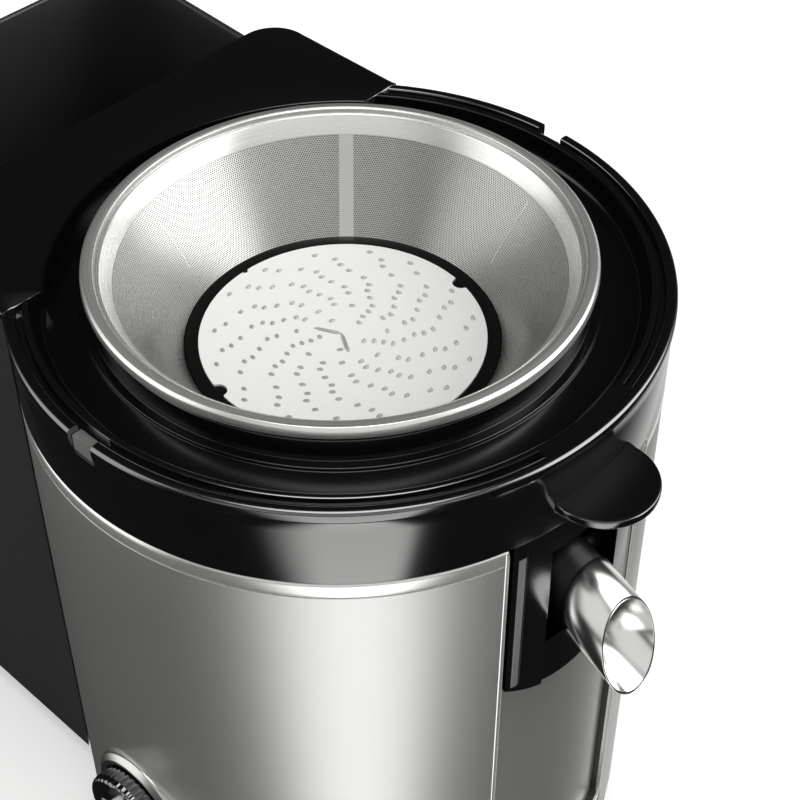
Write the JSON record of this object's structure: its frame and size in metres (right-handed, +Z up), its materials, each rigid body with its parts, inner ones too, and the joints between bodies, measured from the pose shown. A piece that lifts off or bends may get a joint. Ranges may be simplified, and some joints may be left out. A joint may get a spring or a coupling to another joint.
{
  "type": "centrifugal juicer",
  "caption": "Centrifugal juicer without its lid: steel drum with motor, black juice bowl with tipping spout, spinning sieve with grater disc, speed knob and pulp container at the back.",
  "frame": {"origin": "centre of the overall footprint on the table plane", "axes": "+Z up, the spout points along -Y, the pulp container stands at +Y, the speed knob faces -X"},
  "size_m": [0.2356, 0.3724, 0.2744],
  "materials": {
    "drum_steel": "brushed round the drum",
    "polished_steel": "polished",
    "sieve_steel": "bright, spun",
    "disc_steel": "bright satin",
    "gloss_black": "gloss",
    "matt_black": "matt",
    "container_black": "satin",
    "grey_plastic": "satin",
    "rubber_black": "matt",
    "seal_rubber": "matt",
    "cast_aluminium": "as cast",
    "core_steel": "varnished laminations",
    "copper": "enamelled copper",
    "brass_parts": "plain",
    "carbon": "pressed carbon",
    "plain_steel": "bright",
    "satin_silver": "satin silver",
    "white_plastic": "satin",
    "board_green": "solder resist",
    "film_yellow": "satin"
  },
  "bodies": {
    "base": {"steel_shell": "drum_steel", "shell_trim": "polished_steel", "recess_panel": "drum_steel", "body_housing": "matt_black", "spout_pocket": "matt_black", "top_deck": "matt_black", "base_ring": "matt_black", "bottom_cover": "matt_black", "rear_cradle": "matt_black", "rubber_feet": "rubber_black", "knob_bezel": "satin_silver", "rotary_switch": "matt_black", "control_board": "board_green", "suppressor": "film_yellow", "terminal_block": "white_plastic", "microswitch": "matt_black", "interlock_spring": "plain_steel", "cord_gland": "matt_black", "upper_bracket": "cast_aluminium", "lower_bracket": "cast_aluminium", "stator_core": "core_steel", "field_coils": "copper", "brush_holders": "brass_parts", "carbon_brushes": "carbon", "brush_springs": "plain_steel", "upper_bearing": "plain_steel", "lower_bearing": "plain_steel", "rubber_mounts": "rubber_black", "mount_screws": "plain_steel", "motor_screws": "plain_steel", "base_screws": "plain_steel", "shaft_seal": "seal_rubber"},
    "rotor": {"motor_shaft": "plain_steel", "armature_core": "core_steel", "armature_winding": "copper", "commutator": "copper", "cooling_fan": "matt_black", "drive_coupling": "white_plastic"},
    "bowl": {"juice_bowl": "gloss_black", "spout_bracket": "gloss_black", "bracket_strips": "grey_plastic", "thumb_tab": "gloss_black", "outlet_seal": "seal_rubber", "notch_insert": "grey_plastic"},
    "spout": {"spout_knuckle": "gloss_black", "spout_sleeve": "polished_steel"},
    "sieve": {"sieve_rim": "sieve_steel", "sieve_mesh": "sieve_steel", "grater_disc": "disc_steel", "disc_ring": "matt_black", "sieve_hub": "matt_black", "hub_screws": "plain_steel"},
    "knob": {"speed_knob": "gloss_black", "knob_pointer": "white_plastic", "switch_spindle": "plain_steel"},
    "interlock": {"interlock_pin": "grey_plastic"},
    "container": {"pulp_container": "container_black", "container_grip": "matt_black"}
  },
  "joints": [
    {"name": "rotor_spin", "type": "hinge", "parent": "base", "child": "rotor", "pos_m": [0.00776, -0.05075, 0.1], "axis": [0, 0, 1], "continuous": true},
    {"name": "bowl_lift", "type": "slide", "parent": "base", "child": "bowl", "axis": [0, 0, 1], "range_m": [0, 0.13]},
    {"name": "sieve_spin", "type": "hinge", "parent": "bowl", "child": "sieve", "pos_m": [0.00776, -0.05075, 0.24], "axis": [0, 0, 1], "continuous": true},
    {"name": "spout_tilt", "type": "hinge", "parent": "bowl", "child": "spout", "pos_m": [0.00776, -0.14875, 0.1967], "axis": [-1, 0, 0], "range_deg": [0, 35]},
    {"name": "knob_turn", "type": "hinge", "parent": "base", "child": "knob", "pos_m": [-0.11, -0.05075, 0.075], "axis": [-1, 0, 0], "range_deg": [0, 90]},
    {"name": "interlock_press", "type": "slide", "parent": "base", "child": "interlock", "axis": [0, 0, -1], "range_m": [0, 0.003], "stiffness_N_per_m": 300, "deforming": ["interlock_spring"]},
    {"name": "container_slide", "type": "slide", "parent": "base", "child": "container", "axis": [0, 1, 0], "range_m": [0, 0.16]}
  ],
  "couplings": [
    {"joint": "sieve_spin", "follows": "rotor_spin", "ratio": 1}
  ]
}
